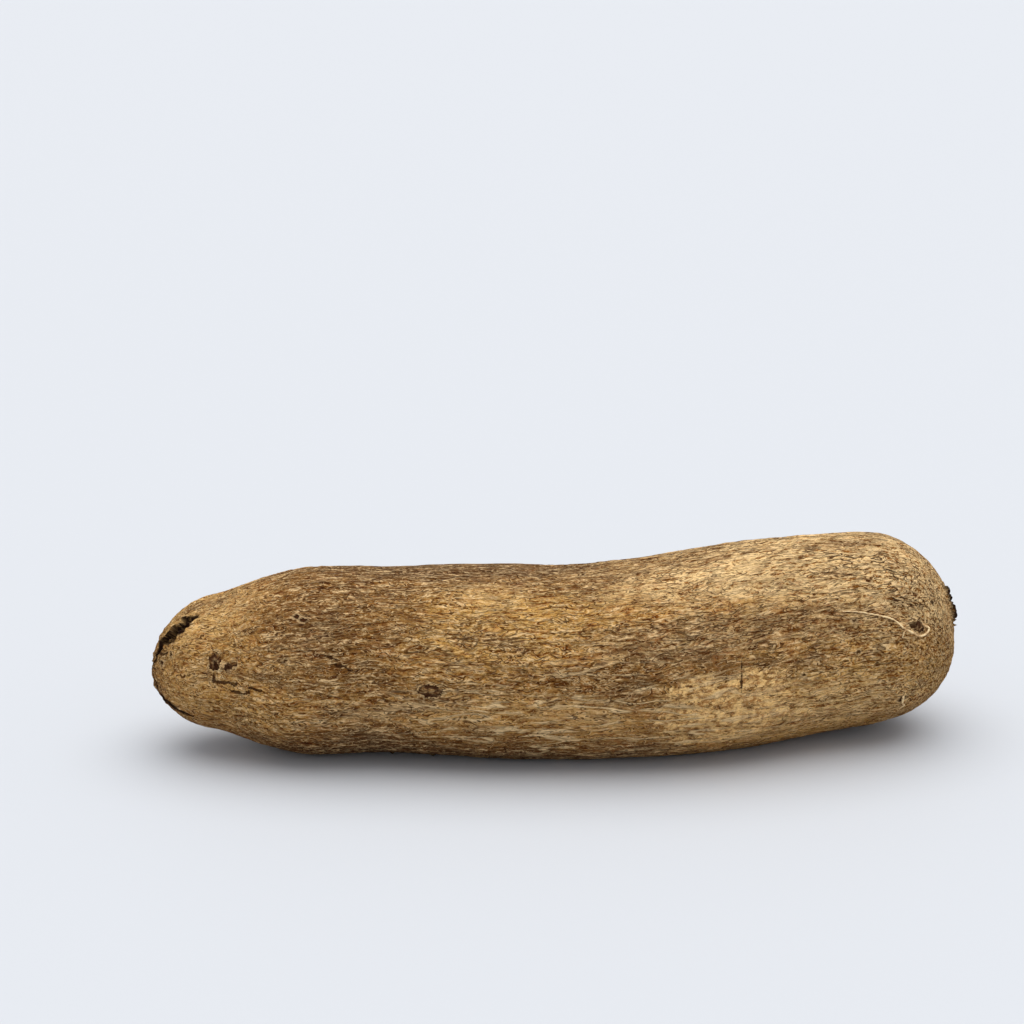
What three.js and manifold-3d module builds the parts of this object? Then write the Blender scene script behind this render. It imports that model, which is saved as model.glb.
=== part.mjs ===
// A whole yam tuber lying on its side: one solid body of starchy flesh in a corky brown skin.
// X runs along the tuber, from the narrow stem end (-X) to the blunt growing end (+X).
// Y is across it, and Z is up from the surface that it lies on. All sizes are in millimetres.
import * as THREE from 'three';
import { mergeVertices } from 'three/addons/utils/BufferGeometryUtils.js';
import Module from 'manifold-3d';

const LENGTH = 380;              // stem scar to growing tip, along X
const STEM_CAP = 24;             // length over which the stem end rounds off
const STEM_ROUNDNESS = 2;        // 2 is an ellipse, more is squarer
const TIP_CAP = 44;              // length over which the growing end rounds off
const TIP_ROUNDNESS = 2.2;
const WIDTH_TO_HEIGHT = 1.03;    // the tuber grew a little wider than it is high
const SKIN_COLOUR = 0x8e6f48;

// Half the height of the tuber at stations along it, before the ends are rounded off.
const GIRTH = [
  { along: -190, radius: 25 },
  { along: -160, radius: 32 },
  { along: -122, radius: 43.4 },
  { along: -80, radius: 43.6 },
  { along: -35, radius: 45 },
  { along: 5, radius: 45.2 },
  { along: 50, radius: 47.1 },
  { along: 88, radius: 48.7 },
  { along: 135, radius: 46.6 },
  { along: 190, radius: 45 },
];

// The centre line: the stem end lifts clear of the surface, the growing end bends away to +Y.
const SPINE = [
  { along: -190, side: 8, height: 40.5 },
  { along: -160, side: 8, height: 42 },
  { along: -122, side: 7.5, height: 42.1 },
  { along: -80, side: 7, height: 43.2 },
  { along: -30, side: 4, height: 43.3 },
  { along: 10, side: 3.5, height: 43.7 },
  { along: 50, side: 6.5, height: 45.4 },
  { along: 90, side: 17, height: 47.4 },
  { along: 125, side: 30, height: 48.3 },
  { along: 160, side: 38, height: 48.7 },
  { along: 190, side: 34, height: 47.5 },
];

const AROUND = 48;               // facets round the tuber
const STEM_RINGS = 7;            // rings in the rounding of each end, and between the two
const TIP_RINGS = 10;
const BODY_RINGS = 34;

// A smooth curve through one value of the stations: cubic pieces that share their end slopes.
function smoothThrough(stations, name, along) {
  const slope = (i) => {
    const before = stations[Math.max(i - 1, 0)];
    const after = stations[Math.min(i + 1, stations.length - 1)];
    return (after[name] - before[name]) / (after.along - before.along);
  };
  let i = 0;
  while (i < stations.length - 2 && along > stations[i + 1].along) i += 1;
  const span = stations[i + 1].along - stations[i].along;
  const t = (along - stations[i].along) / span;
  const rise = t * t * (3 - 2 * t);
  return stations[i][name] * (1 - rise) + stations[i + 1][name] * rise
    + span * slope(i) * t * (1 - t) ** 2
    - span * slope(i + 1) * t * t * (1 - t);
}

// How far an end has filled out, from 0 at its very tip to 1 where the plain body starts.
function capFill(distance, capLength, roundness) {
  const reach = Math.max(1 - distance / capLength, 0);
  return (1 - reach ** roundness) ** (1 / roundness);
}

function radiusAt(along) {
  return smoothThrough(GIRTH, 'radius', along)
    * capFill(LENGTH / 2 + along, STEM_CAP, STEM_ROUNDNESS)
    * capFill(LENGTH / 2 - along, TIP_CAP, TIP_ROUNDNESS);
}

// Where the rings stand: close together in the two roundings, evenly spaced between them.
function ringStations() {
  const quarter = (i, count) => 1 - Math.cos((i / count) * Math.PI / 2);
  const stations = [];
  for (let i = 1; i < STEM_RINGS; i += 1) {
    stations.push(-LENGTH / 2 + STEM_CAP * quarter(i, STEM_RINGS));
  }
  for (let i = 0; i <= BODY_RINGS; i += 1) {
    stations.push(-LENGTH / 2 + STEM_CAP + (LENGTH - STEM_CAP - TIP_CAP) * (i / BODY_RINGS));
  }
  for (let i = TIP_RINGS - 1; i > 0; i -= 1) {
    stations.push(LENGTH / 2 - TIP_CAP * quarter(i, TIP_RINGS));
  }
  return stations;
}

function spinePoint(along) {
  return new THREE.Vector3(
    along,
    smoothThrough(SPINE, 'side', along),
    smoothThrough(SPINE, 'height', along),
  );
}

// The grown body: rings of points round the centre line, closed by one point at each end.
function bodyGeometry() {
  const points = [spinePoint(-LENGTH / 2)];
  const rings = ringStations();
  for (const along of rings) {
    const centre = spinePoint(along);
    const radius = radiusAt(along);
    for (let k = 0; k < AROUND; k += 1) {
      const angle = (k / AROUND) * 2 * Math.PI;
      points.push(new THREE.Vector3(
        along,
        centre.y + radius * WIDTH_TO_HEIGHT * Math.cos(angle),
        centre.z + radius * Math.sin(angle),
      ));
    }
  }
  points.push(spinePoint(LENGTH / 2));

  const faces = [];
  const last = points.length - 1;
  const point = (ring, k) => 1 + ring * AROUND + (k % AROUND);
  for (let k = 0; k < AROUND; k += 1) {
    faces.push(0, point(0, k + 1), point(0, k));
    for (let ring = 0; ring < rings.length - 1; ring += 1) {
      faces.push(point(ring, k), point(ring, k + 1), point(ring + 1, k + 1));
      faces.push(point(ring, k), point(ring + 1, k + 1), point(ring + 1, k));
    }
    faces.push(last, point(rings.length - 1, k), point(rings.length - 1, k + 1));
  }
  const geometry = new THREE.BufferGeometry().setFromPoints(points);
  geometry.setIndex(faces);
  return geometry;
}

const wasm = await Module();
wasm.setup();

function toManifold(geometry) {
  const bare = geometry.clone();
  bare.deleteAttribute('normal');
  bare.deleteAttribute('uv');
  const merged = mergeVertices(bare);
  return new wasm.Manifold(new wasm.Mesh({
    numProp: 3,
    vertProperties: merged.attributes.position.array,
    triVerts: new Uint32Array(merged.index.array),
  }));
}

function toGeometry(manifold) {
  const mesh = manifold.getMesh();
  const geometry = new THREE.BufferGeometry();
  geometry.setAttribute('position', new THREE.BufferAttribute(mesh.vertProperties, 3));
  geometry.setIndex(new THREE.BufferAttribute(mesh.triVerts, 1));
  return geometry;
}

// The belly is pressed flat where the tuber lies: all that would be under the surface is cut off.
function pressFlat(geometry) {
  const ground = new THREE.BoxGeometry(2 * LENGTH, LENGTH, LENGTH);
  ground.translate(0, 0, -LENGTH / 2);
  return toGeometry(toManifold(geometry).subtract(toManifold(ground)));
}

const tuberGeometry = pressFlat(bodyGeometry());
tuberGeometry.computeBoundingBox();
const middle = tuberGeometry.boundingBox.getCenter(new THREE.Vector3());
tuberGeometry.translate(-middle.x, -middle.y, 0);
tuberGeometry.computeVertexNormals();

const skin = new THREE.MeshStandardMaterial({
  color: SKIN_COLOUR,
  roughness: 0.85,
  metalness: 0,
});

const tuber = new THREE.Mesh(tuberGeometry, skin);
tuber.name = 'yam_tuber';

const yam = new THREE.Group();
yam.name = 'yam';
yam.add(tuber);

export default yam;
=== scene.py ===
import math

import bpy
import numpy as np
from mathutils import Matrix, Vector


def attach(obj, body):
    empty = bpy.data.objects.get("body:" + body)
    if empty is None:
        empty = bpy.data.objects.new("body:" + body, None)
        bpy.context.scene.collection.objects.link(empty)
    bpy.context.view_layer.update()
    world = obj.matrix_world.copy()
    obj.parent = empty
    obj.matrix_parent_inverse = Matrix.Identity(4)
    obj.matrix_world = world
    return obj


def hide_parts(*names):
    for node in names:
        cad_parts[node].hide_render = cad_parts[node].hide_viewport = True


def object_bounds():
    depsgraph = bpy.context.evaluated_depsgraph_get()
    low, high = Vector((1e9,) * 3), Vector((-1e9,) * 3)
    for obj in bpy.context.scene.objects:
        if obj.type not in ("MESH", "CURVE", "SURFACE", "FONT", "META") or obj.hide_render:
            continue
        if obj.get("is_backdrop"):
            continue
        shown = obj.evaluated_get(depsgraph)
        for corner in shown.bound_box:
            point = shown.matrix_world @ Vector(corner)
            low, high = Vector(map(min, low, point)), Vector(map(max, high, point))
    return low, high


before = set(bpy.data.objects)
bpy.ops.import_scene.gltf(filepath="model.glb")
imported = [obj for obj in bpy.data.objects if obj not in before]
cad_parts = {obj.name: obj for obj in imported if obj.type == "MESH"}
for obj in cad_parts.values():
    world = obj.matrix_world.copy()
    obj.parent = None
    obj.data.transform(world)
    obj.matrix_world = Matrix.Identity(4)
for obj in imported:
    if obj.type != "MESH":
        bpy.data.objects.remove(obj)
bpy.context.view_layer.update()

# ---- The tuber -------------------------------------------------------------------------
# A yam is one swollen underground stem of starchy flesh in a corky skin. It grew from the
# narrow stem end, at -X, to the blunt growing end, at +X. Its girth and its centre line
# are the frame's.

MM = 0.001


def cad_rings():
    """The CAD solid's rings, from stem to tip: along, side, height, half width, half height."""
    points = np.array([v.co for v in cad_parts["yam_tuber"].data.vertices]) / MM
    stations, ring_of = np.unique(np.round(points[:, 0], 2), return_inverse=True)
    rings = []
    for number, along in enumerate(stations):
        ring = points[ring_of == number]
        front, rear = ring[np.argmin(ring[:, 1])], ring[np.argmax(ring[:, 1])]
        top = ring[:, 2].max()
        at_an_end = number in (0, len(stations) - 1)
        # The flat belly's edge adds stations that aren't whole rings: they have no top.
        if at_an_end or top > rear[2] + 1:
            half_width = (rear[1] - front[1]) / 2
            rings.append((along, (rear[1] + front[1]) / 2, rear[2], half_width, top - rear[2]))
    return np.array(rings)


def smooth_through(known, values, wanted):
    """Cubic pieces through the values at the known places, with shared end slopes."""
    slopes = np.gradient(values, known)
    piece = np.clip(np.searchsorted(known, wanted) - 1, 0, len(known) - 2)
    span = known[piece + 1] - known[piece]
    t = (wanted - known[piece]) / span
    rise = t * t * (3 - 2 * t)
    return (
        values[piece] * (1 - rise)
        + values[piece + 1] * rise
        + span * slopes[piece] * t * (1 - t) ** 2
        - span * slopes[piece + 1] * t * t * (1 - t)
    )


rings = cad_rings()
steps = np.hypot(np.diff(rings[:, 0]), np.diff(rings[:, 4]))
ring_reach = np.concatenate([[0], np.cumsum(steps)])
SKIN_LENGTH = ring_reach[-1]

# Past each end the outline goes on down the far side, so that it crosses the end squarely.
past_end = np.array([1, 1, 1, -1, -1])
outline = np.vstack([rings[1] * past_end, rings, rings[-2] * past_end])
outline_reach = np.concatenate([[-ring_reach[1]], ring_reach, [2 * SKIN_LENGTH - ring_reach[-2]]])


def outline_at(reach):
    """Along, side, height, half width and half height, at a distance along the skin in mm."""
    return [smooth_through(outline_reach, outline[:, k], reach) for k in range(5)]


def reach_at(along):
    """The distance along the skin, from the stem end, of the ring at a place along X in mm."""
    return float(np.interp(along, rings[:, 0], ring_reach))


def round_angle(lift):
    """The ring angle of a place on the front of the tuber, a number of degrees above level."""
    return math.pi - math.radians(lift)


# The skin is one mesh: a sleeve of rings, closed by a square patch wrapped over each end.
AROUND = 360
PATCH = AROUND // 4
SLEEVE_ROWS = 224
STEM_PATCH_REACH = 26
TIP_PATCH_REACH = 42


def square_ring(column, row):
    """Which ring of the patch a grid point is on, from 0 to 1, and its step round that ring."""
    x, y = column - PATCH // 2, row - PATCH // 2
    ring = max(abs(x), abs(y))
    if ring == 0:
        return 0.0, 0.0
    if x == ring and y < ring:
        step = y + ring
    elif y == ring and x > -ring:
        step = 2 * ring + (ring - x)
    elif x == -ring and y > -ring:
        step = 4 * ring + (ring - y)
    else:
        step = 6 * ring + (x + ring)
    return ring / (PATCH // 2), step / (8 * ring)


def skin_grid():
    """Every skin point's reach and ring angle, and the four-cornered faces between them."""
    reaches, angles, faces = [], [], []
    for row in range(SLEEVE_ROWS + 1):
        share = row / SLEEVE_ROWS
        reach = STEM_PATCH_REACH + share * (SKIN_LENGTH - STEM_PATCH_REACH - TIP_PATCH_REACH)
        reaches += [reach] * AROUND
        angles += [2 * math.pi * k / AROUND for k in range(AROUND)]
    for row in range(SLEEVE_ROWS):
        start, above = row * AROUND, (row + 1) * AROUND
        for k in range(AROUND):
            after = (k + 1) % AROUND
            faces.append((start + k, start + after, above + after, above + k))

    for at_stem in (True, False):
        edge_row = 0 if at_stem else SLEEVE_ROWS * AROUND
        point = {}
        for column in range(PATCH + 1):
            for row in range(PATCH + 1):
                ring, turn = square_ring(column, row)
                if ring == 1:
                    point[column, row] = edge_row + round(turn * AROUND) % AROUND
                    continue
                point[column, row] = len(reaches)
                if at_stem:
                    reaches.append(ring * STEM_PATCH_REACH)
                else:
                    reaches.append(SKIN_LENGTH - ring * TIP_PATCH_REACH)
                angles.append(turn * 2 * math.pi)
        for column in range(PATCH):
            for row in range(PATCH):
                face = [point[column, row], point[column + 1, row],
                        point[column + 1, row + 1], point[column, row + 1]]
                faces.append(tuple(face[::-1] if at_stem else face))
    return np.array(reaches), np.array(angles), np.array(faces)


reach, angle, skin_faces = skin_grid()
along, side, height, half_width, half_height = outline_at(reach)
skin_points = np.stack([
    along,
    side + half_width * np.cos(angle),
    height + half_height * np.sin(angle),
], axis=1)

# The grain is a straightened copy of the skin: first along it, then two ways across it.
# At the stem the grain gathers to a point, and at the tip it spreads over the round end.
GATHER = 18
GATHER_REACH = 60
gather = GATHER * np.clip(1 - reach / GATHER_REACH, 0, 1)
grain_radius = np.hypot(half_height, gather)
grain = np.stack([reach, grain_radius * np.cos(angle), grain_radius * np.sin(angle)], axis=1)


def point_noise(points, seed):
    """Smooth noise from about -1 to 1 at each point, with features about one unit across."""
    table = np.random.default_rng(seed)
    order = np.concatenate([table.permutation(256)] * 2)
    slopes = table.normal(size=(256, 3))
    slopes /= np.linalg.norm(slopes, axis=1, keepdims=True)
    corner = np.floor(points).astype(int)
    inside = points - corner
    fade = inside ** 3 * (inside * (inside * 6 - 15) + 10)
    total = np.zeros(len(points))
    for step in np.ndindex(2, 2, 2):
        x, y, z = ((corner + step) & 255).T
        slope = slopes[order[order[order[x] + y] + z]]
        weight = np.prod(np.where(step, fade, 1 - fade), axis=1)
        total += weight * np.einsum("ij,ij->i", slope, inside - step)
    return total * 1.6


def grain_noise(length, width, seed):
    """Noise whose features are so long along the grain and so wide across it, in mm."""
    return point_noise(grain / (length, width, width), seed)


def oval(along_x, lift, half_length, half_wide, slant=0.0):
    """0 at a place on the front of the skin, and 1 at the edge of an oval round it."""
    ahead = reach - reach_at(along_x)
    across = np.angle(np.exp(1j * (round_angle(lift) - angle))) * np.maximum(half_height, 1)
    slope = math.radians(slant)
    u = (ahead * math.cos(slope) + across * math.sin(slope)) / half_length
    v = (across * math.cos(slope) - ahead * math.sin(slope)) / half_wide
    return np.hypot(u, v)


def near(*place_and_size):
    """1 at the middle of an oval on the skin, falling to 0 at its edge."""
    return np.clip(1 - oval(*place_and_size), 0, 1)


def ease(value):
    """Rounds the foot and the shoulder of a slope from 0 to 1."""
    value = np.clip(value, 0, 1)
    return value * value * (3 - 2 * value)


# The skin shrank as it dried: it waves gently, wrinkles along its length and peels in folds.
FOLD_LAYERS = 3.2
FOLD_HEIGHT = 0.62
PUCKER_REACH = 46
swell = 0.9 * grain_noise(75, 38, 1) + 0.45 * grain_noise(34, 17, 2)
wrinkle = 0.45 * grain_noise(26, 5.2, 3) + 0.22 * grain_noise(11, 2.9, 4)
level = FOLD_LAYERS * (grain_noise(22, 5.0, 5) + 0.35 * grain_noise(9, 2.6, 26))
fold = FOLD_HEIGHT * (np.floor(level) + ease((level - np.floor(level)) * 4 - 3) - level)
fold = fold * ease(0.7 + 1.2 * grain_noise(50, 24, 6))
pucker = 0.6 * ease(1 - reach / PUCKER_REACH) * grain_noise(60, 3.4, 7)
raised = swell + wrinkle + fold + pucker


def to_route(route):
    """Each skin point's distance in mm from a line over the skin, and the line's half width there.

    A route's places are along X, degrees above level on the front, and half width."""
    spots, widths = [], []
    for along_x, lift, half_wide in route:
        x, y, z, wide, high = outline_at(np.array([reach_at(along_x)]))
        turn = round_angle(lift)
        spots.append([x[0], y[0] + wide[0] * math.cos(turn), z[0] + high[0] * math.sin(turn)])
        widths.append(half_wide)
    nearest = np.full(len(skin_points), np.inf)
    width_there = np.zeros(len(skin_points))
    legs = zip(np.array(spots), np.array(spots[1:]), widths, widths[1:])
    for start, end, width, end_width in legs:
        line = end - start
        share = np.clip((skin_points - start) @ line / (line @ line), 0, 1)
        distance = np.linalg.norm(skin_points - start - share[:, None] * line, axis=1)
        closer = distance < nearest
        nearest[closer] = distance[closer]
        width_there[closer] = (width + share * (end_width - width))[closer]
    return nearest, width_there


# The stem broke off and healed: a rough scar with a torn crease round its front and top.
# The lip's height and the tear's depth are shares of the tear's half width.
LIP_HEIGHT = 0.16
TEAR_DEPTH = 0.9
STEM_SCAR_REACH = 24
ragged = 1 + 0.75 * point_noise(skin_points / 4.6, 8) + 0.5 * point_noise(skin_points / 2.1, 13)
tear_distance, tear_width = to_route([
    (-167, 62, 0.6), (-171, 61, 2.0), (-174.5, 58, 3.8), (-178.5, 54, 4.4), (-181.5, 50, 3.0),
    (-184.5, 42, 2.0), (-187, 28, 0.9), (-188.2, 6, 0.6), (-188, -20, 0.7), (-186.5, -38, 1.1),
    (-183, -43, 1.8), (-177, -41, 2.0), (-170, -42, 0.6),
])
tear_width = tear_width * ragged
tear = ease(2.0 * (1 - tear_distance / tear_width)) * (1 + 0.5 * point_noise(skin_points / 2.6, 14))
lip = ease(1 - np.abs(tear_distance - 1.5 * tear_width) / (0.8 * tear_width))
raised += LIP_HEIGHT * tear_width * lip - TEAR_DEPTH * tear_width * tear
stem_scar = ease((STEM_SCAR_REACH - reach + 4 * point_noise(skin_points / 9, 9)) / 7)
scar_lumps = 1.0 * point_noise(skin_points / 7, 10) + 0.5 * point_noise(skin_points / 2.8, 11)
raised += stem_scar * scar_lumps

blotch = grain_noise(38, 16, 21) + 0.5 * grain_noise(14, 7, 22)


def patches(*soft_ovals):
    """Soft patches on the skin, added up.

    Each is its strength, steepness and raggedness, then its oval as near() takes it."""
    total = np.zeros(len(reach))
    for strength, steepness, raggedness, *place_and_size in soft_ovals:
        total += strength * ease(near(*place_and_size) * steepness + raggedness * blotch)
    return total


# Smaller hurts that healed over: scabs, hollows, knobs where roots grew, and a black crust.
SCAB_HEIGHT = 0.45
HOLLOW_DEPTH = 1.1
KNOB_HEIGHT = 1.0
CRUST_HEIGHT = 2.3
scabby = patches(
    (1, 1.8, 0, -156, 18, 3.4, 4.2),
    (1, 1.8, 0, -58, 0, 6.4, 3.6),
    (1, 1.8, 0, 20, 150, 7, 5),
)
hollow = patches(
    (1, 1.5, 0, -101.5, 18, 9, 5, -30),
    (0.7, 1.4, 0, -40.6, 28, 7, 7),
    (1, 1.5, 0, -70, 170, 12, 7, 20),
    (1, 1.5, 0, 90, 205, 9, 6, -20),
)
knob = patches(
    (1, 1.8, 0, 166.9, 20, 3.2, 3.2),
    (1, 1.6, 0, 161, -29, 2.6, 4.0),
    (1, 1.6, 0, -20, 120, 3.5, 3),
    (1, 1.6, 0, 130, 165, 4, 4),
)
crust_distance, crust_width = to_route([
    (182.6, 75, 1.6), (184.6, 64, 2.9), (186.2, 52, 3.3), (187.2, 40, 2.2), (187.5, 27, 0.6),
])
crust_ragged = 1 + 0.9 * point_noise(skin_points / 3.4, 16) + 0.4 * point_noise(skin_points / 1.7, 17)
crust_width = crust_width * crust_ragged
crust_gaps = ease(0.8 + 1.2 * point_noise(skin_points / 2.2, 12))
crust = ease(2.2 * (1 - crust_distance / crust_width)) * crust_gaps
raised += SCAB_HEIGHT * scabby - HOLLOW_DEPTH * hollow + KNOB_HEIGHT * knob + CRUST_HEIGHT * crust

# All of that is raised square to the skin.
corners = skin_points[skin_faces]
face_ways = np.cross(corners[:, 2] - corners[:, 0], corners[:, 3] - corners[:, 1])
outward = np.zeros_like(skin_points)
for corner in range(4):
    np.add.at(outward, skin_faces[:, corner], face_ways)
outward /= np.linalg.norm(outward, axis=1, keepdims=True)
skin_points = skin_points + outward * raised[:, None]

# The belly is pressed flat where the tuber lies, with a soft edge to the flat.
BELLY_SOFTNESS = 0.5
skin_points[:, 2] = (skin_points[:, 2] + np.hypot(skin_points[:, 2], BELLY_SOFTNESS)) / 2

skin_mesh = bpy.data.meshes.new("tuber_skin")
skin_mesh.from_pydata((skin_points * MM).tolist(), [], skin_faces.tolist())
skin_mesh.shade_smooth()
skin_mesh.attributes.new("grain", "FLOAT_VECTOR", "POINT").data.foreach_set("vector", grain.ravel())
skin = bpy.data.objects.new("tuber_skin", skin_mesh)
bpy.context.scene.collection.objects.link(skin)
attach(skin, "root")
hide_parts("yam_tuber")

# Its finish is dry corky bark in tans and browns. It flakes in short scales along the grain,
# with splits between them painted dark, partly as painted shade, and it is smoother and paler
# where it was rubbed.


def painted(name, values, low=0, high=1):
    """Stores a value between two limits at every point of the skin, for its finish to read."""
    stored = skin_mesh.attributes.new(name, "FLOAT", "POINT")
    stored.data.foreach_set("value", np.clip(values, low, high))


def marked(name, marks):
    """Stores how many mm each point of the skin is outside the nearest mark, less than 0 inside it.

    A mark is an oval: along X, degrees above level on the front, half length, half width, slant."""
    edges = [(oval(*mark) - 1) * min(mark[2:4]) for mark in marks]
    painted(name, np.min(edges, axis=0), -9, 9)


painted("golden", patches(
    (1, 1.5, 0.4, -28, 45, 75, 32),
    (0.6, 1.5, 0.3, -150, -25, 40, 16),
    (0.8, 1.8, 0, -170, 78, 34, 30),
    (1, 2, 0.2, 132, -30, 74, 34),
    (0.6, 1.8, 0.2, 108, 30, 62, 22),
) + 0.5 * ease(grain_noise(60, 30, 23) - 0.35))
# Grey-brown skin, and painted shade along the middle of the top.
painted("grey_and_shade", patches(
    (1, 2.2, 0.3, -50, 92, 95, 18),
    (0.6, 1.5, 0.4, -108, 35, 24, 24),
) + (
    ease(near(88, 27, 110, 15) * 2.2 + 0.5 * blotch - 0.1)
    + 0.7 * ease(grain_noise(55, 26, 24) - 0.25)
))
# Paler dry skin, with painted light on the upper side, most towards the tip.
painted("dry_and_lit", patches(
    (1, 2.1, 0.3, 95, 85, 110, 46),
    (0.35, 1.8, 0.3, 176, 60, 60, 36),
    (0.45, 1.8, 0, 128, -28, 66, 22),
    (0.7, 1.8, 0.2, 156, 48, 50, 34),
    (0.2, 1.8, 0, -160, 82, 44, 34),
) + 0.7 * ease(grain_noise(70, 34, 27) - 0.2))
# Stains darken these places. Along the middle of the top, on the upper shoulder near the stem and on
# the belly, the darkening is also painted shade.
painted("stain_and_shade", patches(
    (1, 2.2, 0.25, -15, 89, 118, 28),
    (0.3, 2, 0.4, 0, 8, 160, 9),
    (0.55, 2, 0.3, -96, 7, 44, 12),
    (0.55, 2.4, 0.3, 17, 7, 32, 10),
    (0.9, 2, 0.25, -60, -56, 100, 28),
    (0.4, 2, 0.3, -76, -6, 22, 10),
    (0.6, 2, 0, -101, 18, 11, 7, -30),
    (0.6, 2, 0.3, 92, 28, 5, 9),
    (0.5, 2, 0.3, 93, 8, 7, 4),
    (0.5, 2, 0, 75, 6, 6, 9),
    (0.5, 2, 0.3, 28, -8, 22, 9),
    (-0.3, 2, 0, -45, -24, 26, 14),
) + (
    0.95 * ease(near(-96, 64, 62, 60) * 1.9 + 0.25 * blotch - 0.1)
    + 0.5 * ease(grain_noise(50, 24, 30) - 0.2)
    + 0.4 * ease(1.2 * grain_noise(18, 9, 31))
))
painted("rubbed", (
    2.7 * near(72, -17, 38, 30)
    + 0.65 * near(112, -10, 46, 30)
    + 0.8 * blotch * near(72, -8, 60, 40)
    - 0.7 * near(76, 3, 8, 9)
    + 0.4 * ease(grain_noise(30, 12, 28) - 0.1)
))
painted("threads", 2.2 * near(10, -18, 110, 34) + 0.4 * ease(grain_noise(60, 20, 29)))
painted("barky", (
    0.65
    + 0.4 * grain_noise(45, 22, 25)
    - 0.15 * near(-20, 42, 110, 46)
    + 0.6 * near(166, 55, 44, 44)
    - 0.6 * ease(near(70, -13, 44, 32) * 2)
    - 0.6 * ease(1 - reach / 120)
    - 0.8 * near(5, -26, 130, 28)
))
tatters = np.clip(1.0 + 0.9 * point_noise(skin_points / 1.9, 15), 0.8, 1)
# The torn crease is painted dark inside, partly as painted shade, and the crust is black.
painted("torn", ease(2.6 * (1.5 - tear_distance / tear_width)) * tatters + 1.6 * crust)
painted("stem_scar", stem_scar + 0.9 * ease(near(-184, 28, 7, 11) * 2.2))
painted("tip", ease((along - 110) / 70))

# The underside is darker, partly with soil and partly with painted shade, most near the stem, and a
# little soil is smeared on the rubbed patch.
soil_and_shade_start = 0.1 + 0.25 * ease((along + 90) / 60)
soil_and_shade = ease((-soil_and_shade_start - np.sin(angle) + 0.25 * blotch) / (0.8 - 0.8 * soil_and_shade_start))
soil_and_shade = soil_and_shade * (1 - 0.7 * ease((along - 20) / 70))
painted("soil_and_shade", soil_and_shade + 0.55 * ease(near(64, -6, 46, 30) * 2))


def row_near(along_x):
    """The place along X of the nearest ring of skin points, where a narrow crack shows."""
    return float(along[np.argmin(np.abs(reach - reach_at(along_x)))])


# Pits, rings where roots grew, scabs and cracks. The back, top and belly get theirs at random.
dice = np.random.default_rng(31)
pit_marks = [
    (-150.8, 13.5, 1.0, 1.7, 30), (-119.3, 46, 1.5, 1.0), (-116.2, 43.5, 1.7, 1.1), (175, 38, 1.2, 1.2),
    (-156.0, 15, 1.1, 2.6, 25), (161, -31, 1.5, 3.0), (112, -3, 1.0, 0.8),
    (-183, 19, 1.1, 0.9), (-178, 27, 1.0, 1.2), (138, 6, 1.1, 0.9), (152, 30, 1.0, 0.8),
    (164.5, 19.6, 2.2, 1.4), (136, 24, 1.1, 0.8), (-123.6, 18.8, 1.1, 0.9),
]
for _ in range(30):
    pit_marks.append((dice.uniform(-165, 172), dice.uniform(105, 265), *dice.uniform(0.9, 1.6, 2)))
ring_marks = [
    (-124, 19, 2.1, 2.1), (92.3, 15, 4.4, 4.0), (-40.6, 28, 3.6, 3.2), (90.6, 14, 1.9, 1.8),
    (-13.4, 14, 3.0, 2.4), (-20, 120, 3.4, 3.0), (130, 165, 3.8, 3.6), (-130, 205, 2.4, 2.2),
]
for _ in range(12):
    ring_marks.append((dice.uniform(-160, 165), dice.uniform(100, 260), *dice.uniform(1.8, 4.2, 2)))
scab_marks = [
    (-156.8, 18, 3.1, 4.4), (-150.8, 13.5, 2.2, 2.6), (-147.6, 16, 1.4, 1.2), (-58.3, 0, 5.6, 3.1),
    (167.6, 18.8, 3.2, 2.9), (20, 150, 5.0, 2.4, 14), (-70, 170, 5.6, 2.2, -10),
    (150, 100, 2.6, 1.6), (90, 230, 4.4, 2.2),
]
crack_marks = [
    (-153.4, 1.6, 4.8, 0.8, 2), (row_near(-158.2), 3.6, 0.85, 2.3), (-147.6, 0.8, 0.9, 1.7, -30),
    (-146.6, -4.8, 4.2, 0.8, -4), (-141.6, -3.8, 1.6, 0.75, 40), (-137.6, -0.6, 4.4, 0.65, -8),
    (row_near(82), -2.0, 0.55, 4.8), (row_near(82), 7.0, 0.4, 2.4), (173, -8.5, 0.8, 3.6),
    (-103, 20, 3.4, 0.6, -24), (-99, 15, 4.0, 0.6, -10), (-94, 12.4, 2.6, 0.55, 6),
    (-186.3, 33, 2.6, 0.65, 55), (-183.6, 33.5, 3.2, 0.65, -30), (-181, 30, 1.8, 0.6, 20),
    (row_near(-60), 140, 0.8, 8.0),
]
for _ in range(12):
    crack_marks.append((
        dice.uniform(-150, 160), dice.uniform(95, 265), dice.uniform(3, 10), 0.7, dice.normal(0, 12)
    ))
marked("pits", pit_marks)
marked("rings", ring_marks)
marked("scabs", scab_marks)
marked("cracks", crack_marks)


class Wire:
    """One output in a finish's node tree. A sum written with it adds Math nodes."""

    def __init__(self, finish, socket):
        self.finish = finish
        self.socket = socket

    def __add__(self, other):
        return self.finish.maths("ADD", self, other)

    __radd__ = __add__

    def __sub__(self, other):
        return self.finish.maths("SUBTRACT", self, other)

    def __rsub__(self, other):
        return self.finish.maths("SUBTRACT", other, self)

    def __mul__(self, other):
        return self.finish.maths("MULTIPLY", self, other)

    __rmul__ = __mul__


def colour(red, green, blue):
    """A screen colour, in parts of 255, as the linear colour that a shader takes."""
    return tuple((part / 255) ** 2.2 for part in (red, green, blue)) + (1,)


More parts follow.
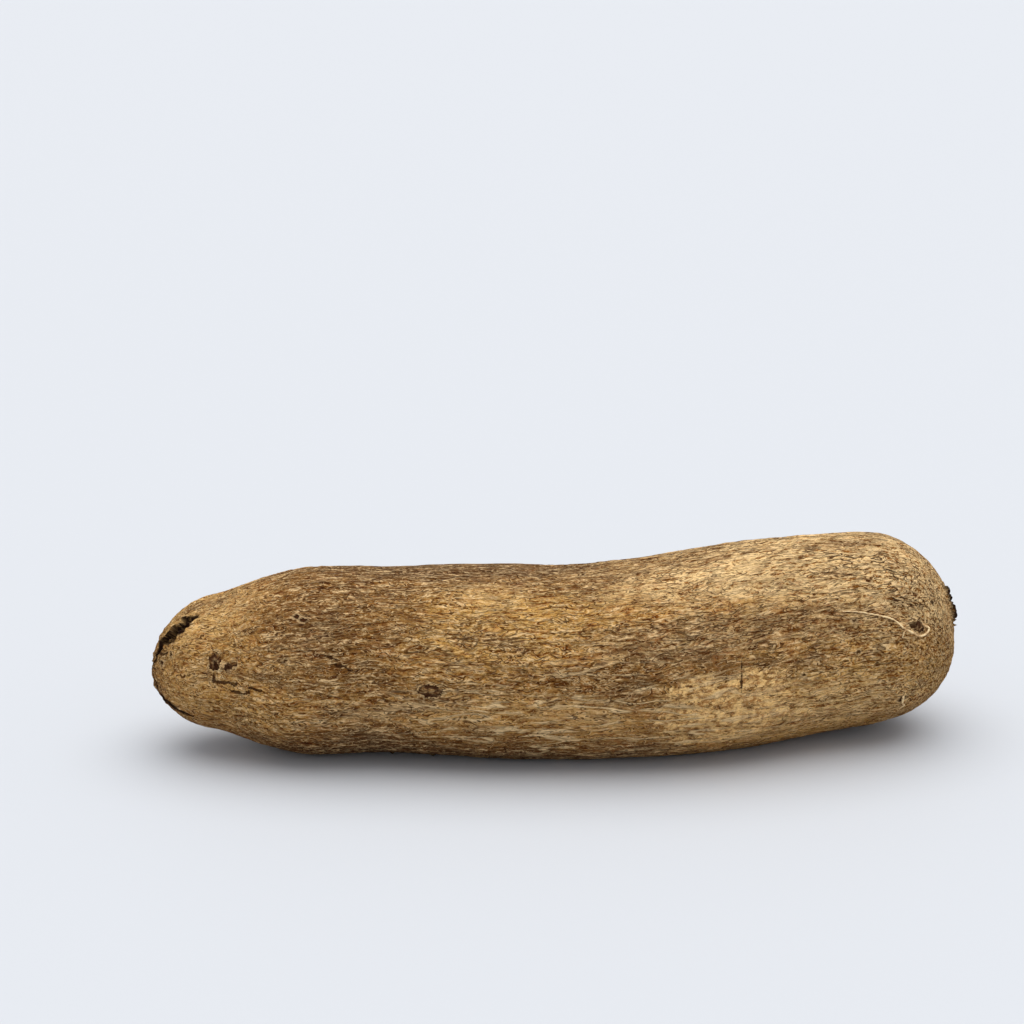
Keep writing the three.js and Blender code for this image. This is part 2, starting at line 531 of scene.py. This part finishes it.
class Finish:
    """A material and the ways to add nodes to it."""

    def __init__(self, name):
        self.material = bpy.data.materials.new(name)
        self.material.use_nodes = True
        self.tree = self.material.node_tree
        self.shader = self.tree.nodes["Principled BSDF"]

    def plug(self, socket, value):
        """Links a wire to a socket, or sets the socket to a plain value."""
        if isinstance(value, Wire):
            self.tree.links.new(value.socket, socket)
        else:
            socket.default_value = value

    def node(self, kind, settings, sockets, output=0):
        """Adds one node: its settings first, then the values or wires of its sockets."""
        made = self.tree.nodes.new(kind)
        for name, value in settings.items():
            setattr(made, name, value)
        for name, value in sockets.items():
            self.plug(made.inputs[name], value)
        return Wire(self, made.outputs[output])

    def maths(self, operation, first, second):
        return self.node("ShaderNodeMath", {"operation": operation}, {0: first, 1: second})

    def vector(self, operation, first, second):
        return self.node("ShaderNodeVectorMath", {"operation": operation}, {0: first, 1: second})

    def mix(self, share, first, second, blend="MIX"):
        """Blends two colours."""
        settings = {"data_type": "RGBA", "blend_type": blend}
        return self.node("ShaderNodeMix", settings, {0: share, 6: first, 7: second}, 2)

    def between(self, value, low, high):
        """0 up to low, 1 from high, and a smooth rise between them. High may be under low."""
        sockets = {"Value": value, "From Min": low, "From Max": high}
        return self.node("ShaderNodeMapRange", {"interpolation_type": "SMOOTHSTEP"}, sockets)

    def painted(self, name):
        """Reads back a value that is stored at the points of the skin."""
        return self.node("ShaderNodeAttribute", {"attribute_name": name}, {}, "Fac")

    def noise(self, place, detail, roughness=0.5, output="Fac"):
        sockets = {"Vector": place, "Scale": 1.0, "Detail": detail, "Roughness": roughness}
        return self.node("ShaderNodeTexNoise", {}, sockets, output)


bark = Finish("corky_skin")
grain_place = bark.node("ShaderNodeAttribute", {"attribute_name": "grain"}, {}, "Vector")


def stretched(place, length, width):
    """The grain with features so long and so wide, in mm, scaled to one unit each way."""
    return bark.vector("MULTIPLY", place, (1 / length, 1 / width, 1 / width))


def wandering(place, length, width, amount):
    """The grain pushed about by a slow noise, by up to about an amount in mm."""
    drift = bark.noise(stretched(place, length, width), 2.0, output="Color")
    drift = bark.vector("SUBTRACT", drift, (0.5, 0.5, 0.5))
    drift = bark.vector("MULTIPLY", drift, (2 * amount, 2 * amount, 2 * amount))
    return bark.vector("ADD", place, drift)


def flaking(place, length, width, layers, detail):
    """Peeling layers of bark: the height of the skin, its torn edges and the cracks under them.

    Each layer's part runs from 0, just past one torn edge, to 1, at the next."""
    level = bark.noise(stretched(place, length, width), detail, 0.55) * layers
    part = bark.maths("FRACT", level, 0.0)
    height_here = (level - part + bark.between(part, 0.78, 1.0)) * (1 / layers)
    crack = bark.between(part, 0.50, 0.74) * bark.between(part, 0.92, 0.80)
    edge = bark.between(part, 0.92, 0.99) + bark.between(part, 0.16, 0.02)
    return height_here, edge, crack


wavy = wandering(grain_place, 24, 10, 2.6)
crinkled = wandering(wavy, 5.5, 2.4, 0.5)
big_height, big_edge, big_crack = flaking(crinkled, 13.0, 3.0, 5, 1.4)
small_height, small_edge, small_crack = flaking(crinkled, 6.0, 1.7, 5, 0.9)
crumbs = bark.noise(stretched(crinkled, 1.6, 1.0), 3.0, 0.72) - 0.5
streaks = bark.noise(stretched(crinkled, 9.5, 1.5), 3.0, 0.62) - 0.5
mottle = bark.noise(stretched(wavy, 13, 7), 2.0, 0.6) - 0.5
hue = bark.noise(stretched(crinkled, 3.4, 2.0), 2.0, 0.6) - 0.5
patchy = bark.between(bark.noise(stretched(wavy, 14, 6), 2.0), 0.34, 0.56)
fine_patchy = bark.between(bark.noise(stretched(wavy, 7, 3.5), 1.0), 0.40, 0.60)
barky = bark.painted("barky")
big_open = patchy * barky
small_open = 0.4 + 0.6 * fine_patchy

# The outermost skin is rubbed off in blotches with crisp edges, and shows paler cork.
blotches = bark.noise(stretched(crinkled, 4.2, 2.4), 4.0, 0.66)
rubbed = bark.between(bark.painted("rubbed") * 0.36 + blotches, 0.77, 0.82)
rubbed_tone = bark.between(bark.noise(stretched(crinkled, 3.0, 2.0), 4.0, 0.66), 0.40, 0.56)

# Pale threads of old roots lie along the underside, and specks of dry skin lie anywhere.
thread_line = bark.noise(stretched(wavy, 42, 5.5), 1.0) - 0.5
thread_gaps = bark.between(bark.noise(stretched(wavy, 16, 5), 1.0), 0.40, 0.52)
thread = bark.between(thread_line * thread_line, 0.0018, 0.0004)
thread = thread * thread_gaps * bark.painted("threads")
specks = bark.between(bark.noise(stretched(grain_place, 1.5, 1.3), 1.0), 0.74, 0.79)

# The marks get ragged edges here: the skin's points are a millimetre apart, so what is stored
# at them has only smooth outlines.
fray = bark.noise(stretched(grain_place, 1.7, 1.7), 3.0, 0.6) - 0.5
broken = bark.between(bark.noise(stretched(grain_place, 2.4, 2.4), 1.0), 0.36, 0.56)
pit_edge = bark.painted("pits") + 2.4 * fray
ring_edge = bark.painted("rings") + 2.4 * fray
scab_edge = bark.painted("scabs") + 4.0 * fray
pit = bark.between(pit_edge, 0.15, -0.35)
pit_rim = bark.between(pit_edge, 1.0, 0.5) * (1 - pit)
ring = bark.between(ring_edge, 0.3, -0.1) * bark.between(ring_edge, -1.4, -0.8) * broken
ring_rim = bark.between(ring_edge, 1.3, 0.8) * bark.between(ring_edge, 0.1, 0.4) * (1 - broken)
scab = bark.between(scab_edge, 0.1, -0.3)
scab_groove = scab * bark.between(scab_edge, -1.4, -0.4) * (0.4 + 0.6 * broken)
scab_rim = bark.between(scab_edge, 1.3, 0.6) * (1 - scab) * broken
crack = bark.between(bark.painted("cracks") + 1.6 * fray, 0.15, -0.25)

# What stands out or lies deeper than the mesh can show, in shares of the bump's depth.
BUMP_DEPTH = 2.3 * MM
tip = bark.painted("tip")
relief = (
    2.0 * big_height * (0.4 + 0.6 * big_open)
    + 1.0 * small_height
    + 0.45 * streaks
    + (0.45 + 0.35 * tip) * crumbs
    - 0.12 * big_crack * big_open
    - 0.06 * small_crack * small_open
    + 0.10 * rubbed
    + 0.35 * thread
    - 0.6 * pit
    - 0.3 * ring
    + 0.15 * ring_rim
    - 0.3 * scab_groove
    + 0.15 * scab_rim
    - 0.6 * crack
)
bump_sockets = {"Strength": 1.0, "Distance": BUMP_DEPTH, "Height": relief}
bump = bark.node("ShaderNodeBump", {}, bump_sockets, "Normal")

# The colour is laid on from the cork up: golden areas, dry areas with painted light on the upper side,
# grey areas with painted shade along the top, soil and painted shade on the underside, then mottling.
golden = bark.painted("golden")
grey_and_shade = bark.painted("grey_and_shade")
scarred = bark.painted("stem_scar")
skin_colour = bark.mix(golden, colour(191, 141, 76), colour(211, 160, 86))
skin_colour = bark.mix(bark.painted("dry_and_lit"), skin_colour, colour(255, 214, 150))
skin_colour = bark.mix(grey_and_shade * 0.8, skin_colour, colour(160, 127, 86))
skin_colour = bark.mix(bark.painted("soil_and_shade") * 0.85, skin_colour, colour(132, 91, 53))
skin_colour = bark.mix(bark.between(mottle, 0.02, 0.2) * 0.5, skin_colour, colour(172, 120, 70))
skin_colour = bark.mix(bark.between(mottle, -0.02, -0.2) * 0.5, skin_colour, colour(128, 98, 66))
skin_colour = bark.mix(bark.between(hue, 0.02, 0.18) * 0.35, skin_colour, colour(178, 112, 66))
skin_colour = bark.mix(bark.between(hue, -0.02, -0.18) * 0.35, skin_colour, colour(200, 162, 100))
skin_colour = bark.mix(scarred * 0.4, skin_colour, colour(132, 96, 62))

# Where it was rubbed, cleaner cork shows. Stains darken other places, and the same darkening is painted
# shade along the middle of the top, near the stem's upper shoulder and on the belly.
STAIN_AND_SHADE_TINT = (0.50, 0.44, 0.38, 1)
rubbed_colour = bark.mix(rubbed_tone, colour(180, 128, 74), colour(255, 208, 136))
skin_colour = bark.mix(rubbed * 0.95, skin_colour, rubbed_colour)
skin_colour = bark.mix(bark.painted("stain_and_shade"), skin_colour, STAIN_AND_SHADE_TINT, "MULTIPLY")

# Streaks along the grain and fine crumbs are dark in their hollows and pale on top: painted shade in
# the hollows and painted light on the tops.
WARM_SHADE = (0.34, 0.19, 0.06, 1)
tone = (2.8 * streaks + (1.9 + 2.1 * tip) * crumbs) * (0.66 + 0.46 * barky)
shaded = bark.between(tone, 0.02, -0.48) * (1 - 0.45 * rubbed)
skin_colour = bark.mix(shaded, skin_colour, WARM_SHADE, "MULTIPLY")
skin_colour = bark.mix(bark.between(tone, 0.04, 0.54) * 0.82, skin_colour, colour(240, 202, 148))

# Torn edges, rims, threads and specks are pale. The torn flake edges are partly paler cork and partly a
# painted highlight on their raised edges.
pale_edge = bark.mix(grey_and_shade * 0.6, colour(240, 204, 150), colour(206, 174, 130))
edges = bark.maths("MAXIMUM", big_edge * big_open * 0.75, small_edge * small_open * 0.55)
edges = bark.maths("MAXIMUM", edges, (ring_rim + scab_rim + pit_rim) * 0.5)
edges = bark.maths("MAXIMUM", edges, bark.maths("MAXIMUM", thread * 0.9, specks * 0.75))
skin_colour = bark.mix(edges, skin_colour, pale_edge)

# Scabs and the stem's scar are dark. Cracks, pits and grooves are dark, partly their own colour and
# partly painted shade in their hollows, and the torn crease and the crust are darkest, the crease
# partly with painted shade inside it.
skin_colour = bark.mix(scab * (0.5 + 0.45 * broken), skin_colour, colour(74, 44, 28))
scar_flakes = bark.between(bark.noise(stretched(wavy, 4.0, 1.6), 2.0), 0.56, 0.66)
skin_colour = bark.mix(scar_flakes * scarred * 0.85, skin_colour, colour(60, 36, 22))
cracks = bark.maths("MAXIMUM", big_crack * big_open * 0.92, small_crack * small_open * 0.8)
cracks = cracks * (1 - 0.7 * rubbed)
cracks = bark.maths("MAXIMUM", cracks, (pit + crack) * 0.92)
cracks = bark.maths("MAXIMUM", cracks, (ring + scab_groove) * 0.5)
skin_colour = bark.mix(cracks, skin_colour, colour(56, 30, 14))
skin_colour = bark.mix(bark.painted("torn"), skin_colour, colour(38, 23, 15))

bark.plug(bark.shader.inputs["Base Color"], skin_colour)
bark.shader.inputs["Specular IOR Level"].default_value = 0.05
bark.plug(bark.shader.inputs["Roughness"], 0.88 - 0.12 * rubbed)
bark.plug(bark.shader.inputs["Normal"], bump)
skin.data.materials.append(bark.material)


# ---- The dry rootlets ------------------------------------------------------------------
# Thin feeding roots that dried on the skin: hair-like, kinked and lying flat, each still
# joined to the knob that it grew from. The longest runs over the blunt end.

ROOT_WIGGLE = 0.22
WIGGLE_LENGTH = 1.7
KINK = 0.12
NEARLY_UPRIGHT = (0.3, 0.2, 0.93)
ROOT_GRAIN = 400


def skin_spot(along_x, lift, above):
    """A point in mm over a place on the finished skin, and so far above it."""
    apart = (reach - reach_at(along_x)) ** 2
    turned = np.angle(np.exp(1j * (angle - round_angle(lift)))) * half_height
    point = np.argmin(apart + turned ** 2)
    return skin_points[point] + outward[point] * above


def rootlet(name, route, thick, thin, steps=60, sides=8):
    """A tapering hair along a route over the skin: along X, degrees above level, height over it."""
    spots = np.array([skin_spot(*place) for place in route])
    known = np.concatenate([[0], np.cumsum(np.linalg.norm(np.diff(spots, axis=0), axis=1))])
    wanted = np.linspace(0, known[-1], steps)
    line = np.stack([smooth_through(known, spots[:, k], wanted) for k in range(3)], axis=1)
    wiggle = np.stack([point_noise(line / WIGGLE_LENGTH, 40 + k) for k in range(3)], axis=1)
    line += ROOT_WIGGLE * wiggle
    ways = np.gradient(line, axis=0)
    ways /= np.linalg.norm(ways, axis=1, keepdims=True)
    sideways = np.cross(ways, NEARLY_UPRIGHT)
    sideways /= np.linalg.norm(sideways, axis=1, keepdims=True)
    upward = np.cross(sideways, ways)
    turns = np.linspace(0, 2 * math.pi, sides, endpoint=False)
    kinks = 1 + KINK * np.sin(np.arange(steps) * 1.7) * np.cos(np.arange(steps) * 0.9)
    radii = np.linspace(thick, thin, steps) * kinks
    points = [
        (line[i] + radii[i] * (math.cos(turn) * sideways[i] + math.sin(turn) * upward[i])) * MM
        for i in range(steps) for turn in turns
    ]
    faces = [tuple(range(sides))[::-1], tuple((steps - 1) * sides + k for k in range(sides))]
    for i in range(steps - 1):
        start, above = i * sides, (i + 1) * sides
        for k in range(sides):
            after = (k + 1) % sides
            faces.append((start + k, start + after, above + after, above + k))
    mesh = bpy.data.meshes.new(name)
    mesh.from_pydata([tuple(point) for point in points], [], faces)
    mesh.shade_smooth()
    piece = bpy.data.objects.new(name, mesh)
    bpy.context.scene.collection.objects.link(piece)
    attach(piece, "root")
    piece.data.materials.append(root_finish.material)


root_finish = Finish("dry_root")
root_place = root_finish.node("ShaderNodeTexCoord", {}, {}, "Object")
root_place = root_finish.vector("MULTIPLY", root_place, (ROOT_GRAIN, ROOT_GRAIN, ROOT_GRAIN))
root_grain = root_finish.noise(root_place, 3.0)
root_pale = root_finish.between(root_grain, 0.3, 0.6)
root_colour = root_finish.mix(root_pale, colour(176, 134, 86), colour(240, 210, 158))
root_finish.plug(root_finish.shader.inputs["Base Color"], root_colour)
root_finish.plug(root_finish.shader.inputs["Roughness"], 0.7 + 0.2 * root_grain)

rootlet("rootlet_long", [
    (131, 29.5, 0.0), (137, 28.8, 0.5), (143.6, 27, 0.4), (150, 25.2, 0.7), (156.3, 22, 0.5),
    (160, 17.5, 1.0), (164, 15.2, 0.6), (168, 13.2, 0.9), (171, 14.6, 1.0), (172, 18.4, 0.6),
    (170, 21, 0.0),
], 0.24, 0.52)
rootlet("rootlet_branch", [(160.5, 17, 0.9), (159, 14, 0.9), (160, 11.5, 0.2)], 0.45, 0.22, 14)
rootlet("rootlet_stub", [
    (161, -27, 0.6), (160.5, -33, 1.2), (162, -38, 0.6), (161, -42, 0.0),
], 0.6, 0.25, 16)
rootlet("rootlet_back", [
    (120, 160, 0.0), (128, 158, 0.7), (136, 163, 0.5), (142, 172, 0.9), (140, 178, 0.3),
], 0.55, 0.3)
rootlet("rootlet_top", [
    (-24, 122, 0.2), (-30, 126, 0.8), (-38, 124, 0.5), (-43, 129, 0.2),
], 0.5, 0.28, 24)


# ---- Floor, light and camera -----------------------------------------------------------
# A plain pale floor under soft overhead studio light. The camera looks a little down on
# the tuber from in front, and its middle lies above and to the left of the tuber's.

FLOOR_REACH = 14.0
FLOOR_COLOUR = (0.55, 0.565, 0.585, 1)
FLOOR_ROUGHNESS = 0.7
STUDIO_COLOUR = (0.82, 0.84, 0.89, 1)
STUDIO_STRENGTH = 0.85
LAMP_STRENGTH = 2.35
LAMP_SPREAD = math.radians(78)
LAMP_SIDE = Vector((0.06, 0.10, 1.0))
floor_mesh = bpy.data.meshes.new("floor")
floor_mesh.from_pydata(
    [(-FLOOR_REACH, -FLOOR_REACH, 0), (FLOOR_REACH, -FLOOR_REACH, 0),
     (FLOOR_REACH, FLOOR_REACH, 0), (-FLOOR_REACH, FLOOR_REACH, 0)],
    [], [(0, 1, 2, 3)],
)
floor = bpy.data.objects.new("floor", floor_mesh)
bpy.context.scene.collection.objects.link(floor)
floor_finish = bpy.data.materials.new("pale_floor")
floor_finish.use_nodes = True
floor_shader = floor_finish.node_tree.nodes["Principled BSDF"]
floor_shader.inputs["Base Color"].default_value = FLOOR_COLOUR
floor_shader.inputs["Roughness"].default_value = FLOOR_ROUGHNESS
floor.data.materials.append(floor_finish)
floor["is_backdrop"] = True

world = bpy.data.worlds.new("studio")
world.use_nodes = True
world.node_tree.nodes["Background"].inputs["Color"].default_value = STUDIO_COLOUR
world.node_tree.nodes["Background"].inputs["Strength"].default_value = STUDIO_STRENGTH
bpy.context.scene.world = world

lamp = bpy.data.lights.new("overhead_light", "SUN")
lamp.energy = LAMP_STRENGTH
lamp.angle = LAMP_SPREAD
lamp_object = bpy.data.objects.new("overhead_light", lamp)
lamp_object.rotation_euler = LAMP_SIDE.to_track_quat("Z", "Y").to_euler()
bpy.context.scene.collection.objects.link(lamp_object)

CAMERA_DISTANCE = 1.13
CAMERA_LIFT = math.radians(15)
FRAME_MIDDLE = Vector((-0.021, 0.0, 0.0627))
low, high = (Vector(corner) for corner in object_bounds())
aim = (low + high) / 2 + FRAME_MIDDLE
back = Vector((0, -math.cos(CAMERA_LIFT), math.sin(CAMERA_LIFT)))
camera = bpy.data.cameras.new("camera")
camera.lens = 85
camera.sensor_width = 36
camera_object = bpy.data.objects.new("camera", camera)
camera_object.location = aim + back * CAMERA_DISTANCE
camera_object.rotation_euler = back.to_track_quat("Z", "Y").to_euler()
bpy.context.scene.collection.objects.link(camera_object)
bpy.context.scene.camera = camera_object

bpy.context.scene.view_settings.view_transform = "Standard"
